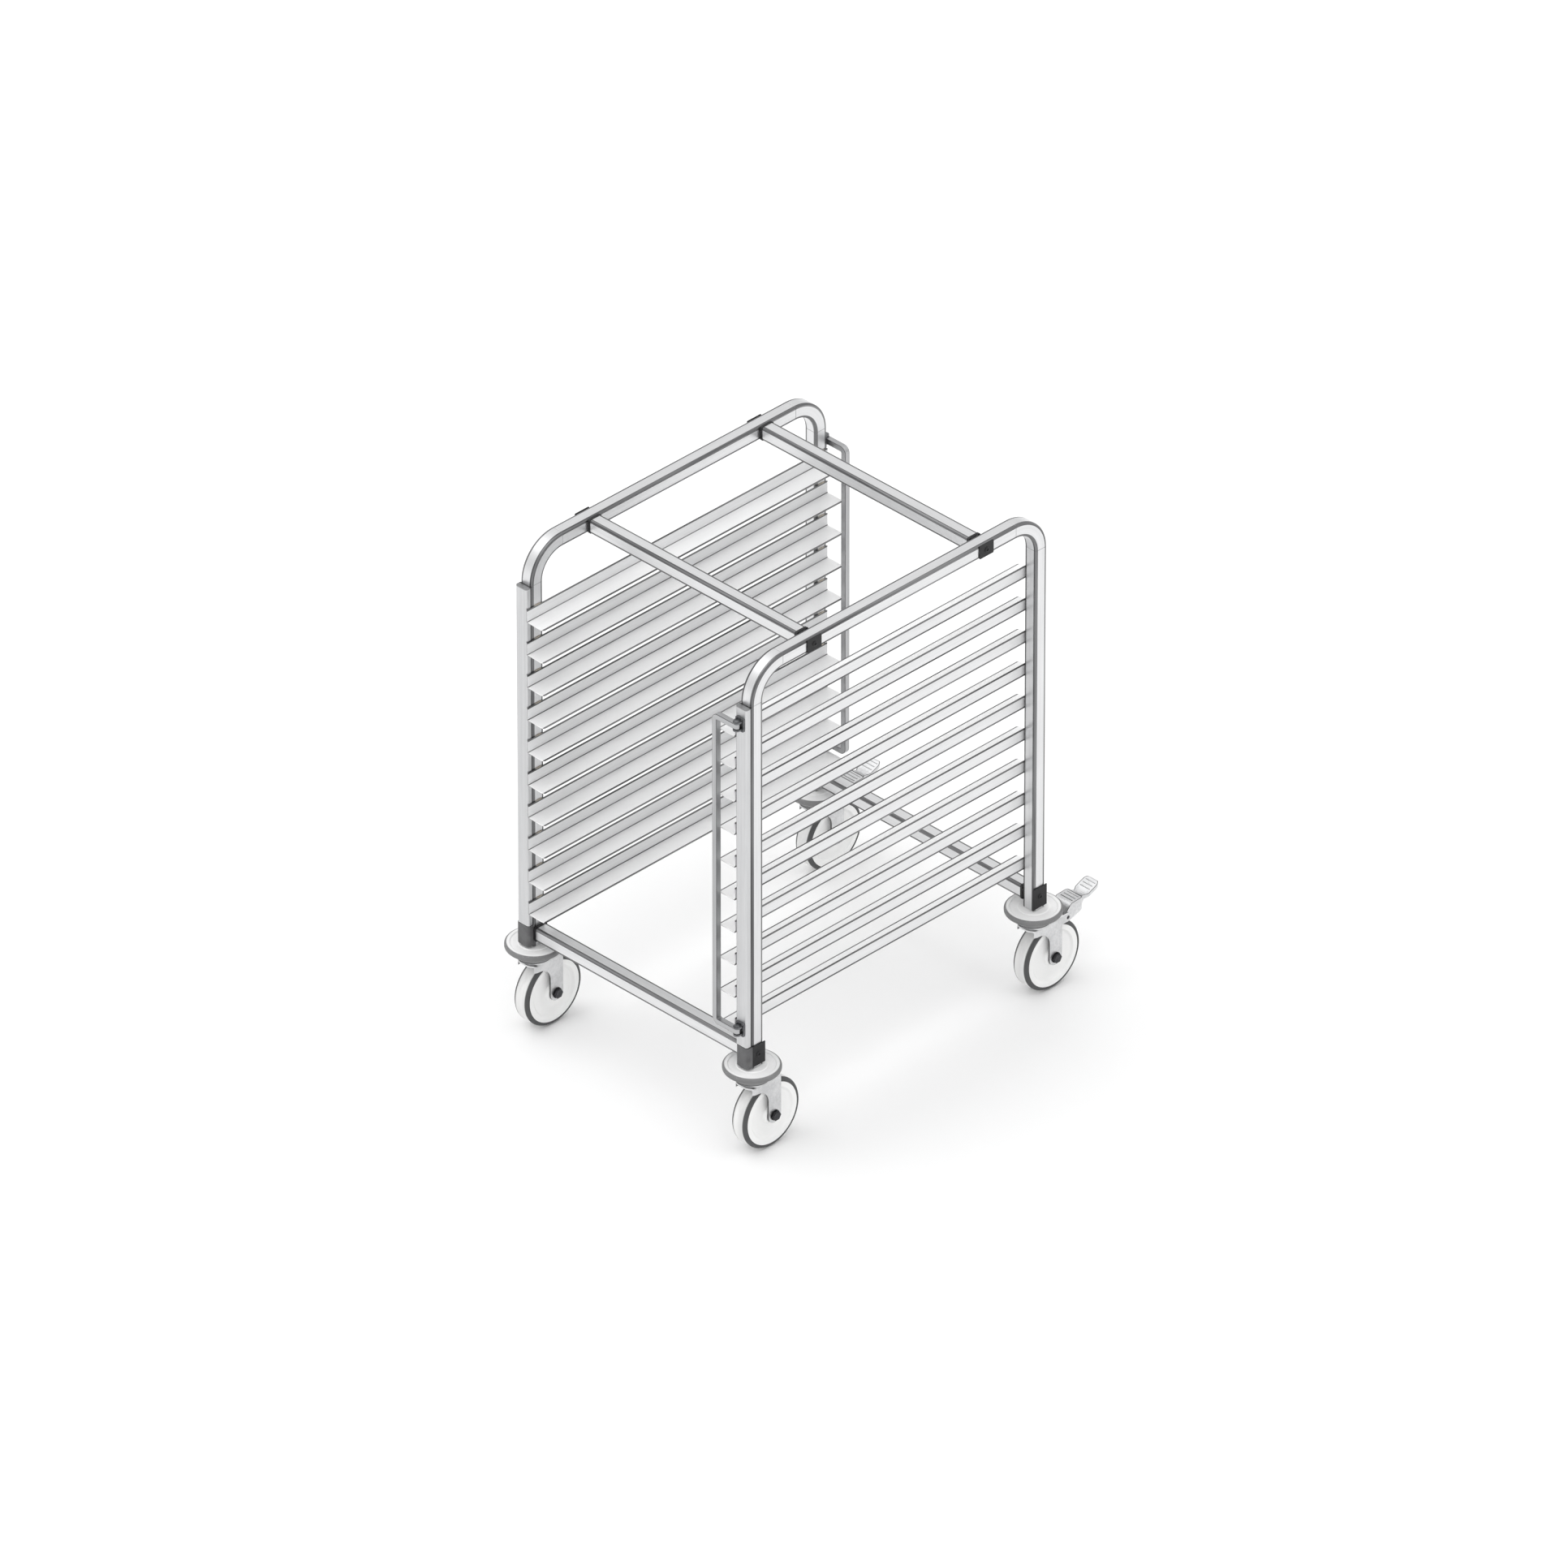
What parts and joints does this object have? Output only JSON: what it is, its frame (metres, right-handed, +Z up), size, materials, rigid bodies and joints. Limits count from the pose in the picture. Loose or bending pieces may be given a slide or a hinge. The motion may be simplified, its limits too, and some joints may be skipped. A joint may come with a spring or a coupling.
{
  "type": "sheet pan rack",
  "caption": "Half-height mobile rack of bent square tube that holds sheet pans on L-shaped runners, with swing-away retaining bars and swivel casters with bumpers.",
  "frame": {"origin": "on the floor, at the centre of the bottom of the rack's bounding box, with the rear brake pedals counted in", "axes": "+Z up; +X to the rack's right seen from the front; +Y from the open front to the rear"},
  "size_m": [0.591, 0.826, 0.9245],
  "materials": {
    "frame_steel": "satin brushed stainless square tube, grain along the tube",
    "channel_steel": "satin brushed stainless folded channel",
    "runner_steel": "satin stainless sheet, lightly rubbed where pans slide",
    "bar_steel": "satin stainless square bar",
    "lug_steel": "darkened steel hinge lug",
    "cover_plastic": "black moulded plastic, fine grain",
    "bumper_rubber": "light grey moulded rubber, smooth",
    "stem_steel": "zinc-plated steel",
    "fork_steel": "bright zinc-plated pressed steel",
    "wheel_plastic": "light grey non-marking polymer wheel and tread",
    "axle_steel": "dark plated steel bolt and nut",
    "pedal_steel": "bright zinc-plated pressed steel"
  },
  "bodies": {
    "frame": {"left_side_frame": "frame_steel", "right_side_frame": "frame_steel", "upper_crossbar_front": "frame_steel", "upper_crossbar_rear": "frame_steel", "lower_crossbar_front": "frame_steel", "lower_crossbar_rear": "frame_steel", "left_front_channel": "channel_steel", "right_front_channel": "channel_steel", "left_runner_01": "runner_steel", "right_runner_01": "runner_steel", "left_runner_02": "runner_steel", "right_runner_02": "runner_steel", "left_runner_03": "runner_steel", "right_runner_03": "runner_steel", "left_runner_04": "runner_steel", "right_runner_04": "runner_steel", "left_runner_05": "runner_steel", "right_runner_05": "runner_steel", "left_runner_06": "runner_steel", "right_runner_06": "runner_steel", "left_runner_07": "runner_steel", "right_runner_07": "runner_steel", "left_runner_08": "runner_steel", "right_runner_08": "runner_steel", "left_runner_09": "runner_steel", "right_runner_09": "runner_steel", "left_runner_10": "runner_steel", "right_runner_10": "runner_steel", "joint_cover_left_front": "cover_plastic", "joint_cover_right_front": "cover_plastic", "joint_cover_left_rear": "cover_plastic", "joint_cover_right_rear": "cover_plastic", "front_bar_lug_upper": "lug_steel", "front_bar_lug_lower": "lug_steel", "rear_bar_lug_upper": "lug_steel", "rear_bar_lug_lower": "lug_steel", "caster_bumper_left_front": "bumper_rubber", "caster_stem_left_front": "stem_steel", "caster_bumper_right_front": "bumper_rubber", "caster_stem_right_front": "stem_steel", "caster_bumper_left_rear": "bumper_rubber", "caster_stem_left_rear": "stem_steel", "caster_bumper_right_rear": "bumper_rubber", "caster_stem_right_rear": "stem_steel"},
    "caster_left_front": {"caster_fork_left_front": "fork_steel", "caster_axle_left_front": "axle_steel"},
    "wheel_left_front": {"caster_wheel_left_front": "wheel_plastic"},
    "caster_right_front": {"caster_fork_right_front": "fork_steel", "caster_axle_right_front": "axle_steel"},
    "wheel_right_front": {"caster_wheel_right_front": "wheel_plastic"},
    "caster_left_rear": {"caster_fork_left_rear": "fork_steel", "caster_axle_left_rear": "axle_steel"},
    "wheel_left_rear": {"caster_wheel_left_rear": "wheel_plastic"},
    "pedal_left_rear": {"brake_pedal_left_rear": "pedal_steel"},
    "caster_right_rear": {"caster_fork_right_rear": "fork_steel", "caster_axle_right_rear": "axle_steel"},
    "wheel_right_rear": {"caster_wheel_right_rear": "wheel_plastic"},
    "pedal_right_rear": {"brake_pedal_right_rear": "pedal_steel"},
    "front_bar": {"front_retaining_bar": "bar_steel"},
    "rear_bar": {"rear_retaining_bar": "bar_steel"}
  },
  "joints": [
    {"name": "swivel_left_front", "type": "hinge", "parent": "frame", "child": "caster_left_front", "pos_m": [-0.2475, -0.365, 0.1411], "axis": [0, 0, 1], "continuous": true},
    {"name": "wheel_spin_left_front", "type": "hinge", "parent": "caster_left_front", "child": "wheel_left_front", "pos_m": [-0.2475, -0.335, 0.0625], "axis": [1, 0, 0], "continuous": true},
    {"name": "swivel_right_front", "type": "hinge", "parent": "frame", "child": "caster_right_front", "pos_m": [0.2475, -0.365, 0.1411], "axis": [0, 0, 1], "continuous": true},
    {"name": "wheel_spin_right_front", "type": "hinge", "parent": "caster_right_front", "child": "wheel_right_front", "pos_m": [0.2475, -0.335, 0.0625], "axis": [1, 0, 0], "continuous": true},
    {"name": "swivel_left_rear", "type": "hinge", "parent": "frame", "child": "caster_left_rear", "pos_m": [-0.2475, 0.274, 0.1411], "axis": [0, 0, 1], "continuous": true},
    {"name": "wheel_spin_left_rear", "type": "hinge", "parent": "caster_left_rear", "child": "wheel_left_rear", "pos_m": [-0.2475, 0.304, 0.0625], "axis": [1, 0, 0], "continuous": true},
    {"name": "brake_pedal_left_rear", "type": "hinge", "parent": "caster_left_rear", "child": "pedal_left_rear", "pos_m": [-0.2475, 0.332, 0.1265], "axis": [1, 0, 0], "range_deg": [-14, 0]},
    {"name": "swivel_right_rear", "type": "hinge", "parent": "frame", "child": "caster_right_rear", "pos_m": [0.2475, 0.274, 0.1411], "axis": [0, 0, 1], "continuous": true},
    {"name": "wheel_spin_right_rear", "type": "hinge", "parent": "caster_right_rear", "child": "wheel_right_rear", "pos_m": [0.2475, 0.304, 0.0625], "axis": [1, 0, 0], "continuous": true},
    {"name": "brake_pedal_right_rear", "type": "hinge", "parent": "caster_right_rear", "child": "pedal_right_rear", "pos_m": [0.2475, 0.332, 0.1265], "axis": [1, 0, 0], "range_deg": [-14, 0]},
    {"name": "front_bar_hinge", "type": "hinge", "parent": "frame", "child": "front_bar", "pos_m": [0.2475, -0.3983, 0.53425], "axis": [0, 0, 1], "range_deg": [0, 180]},
    {"name": "rear_bar_hinge", "type": "hinge", "parent": "frame", "child": "rear_bar", "pos_m": [-0.2475, 0.2953, 0.53425], "axis": [0, 0, 1], "range_deg": [0, 180]}
  ]
}
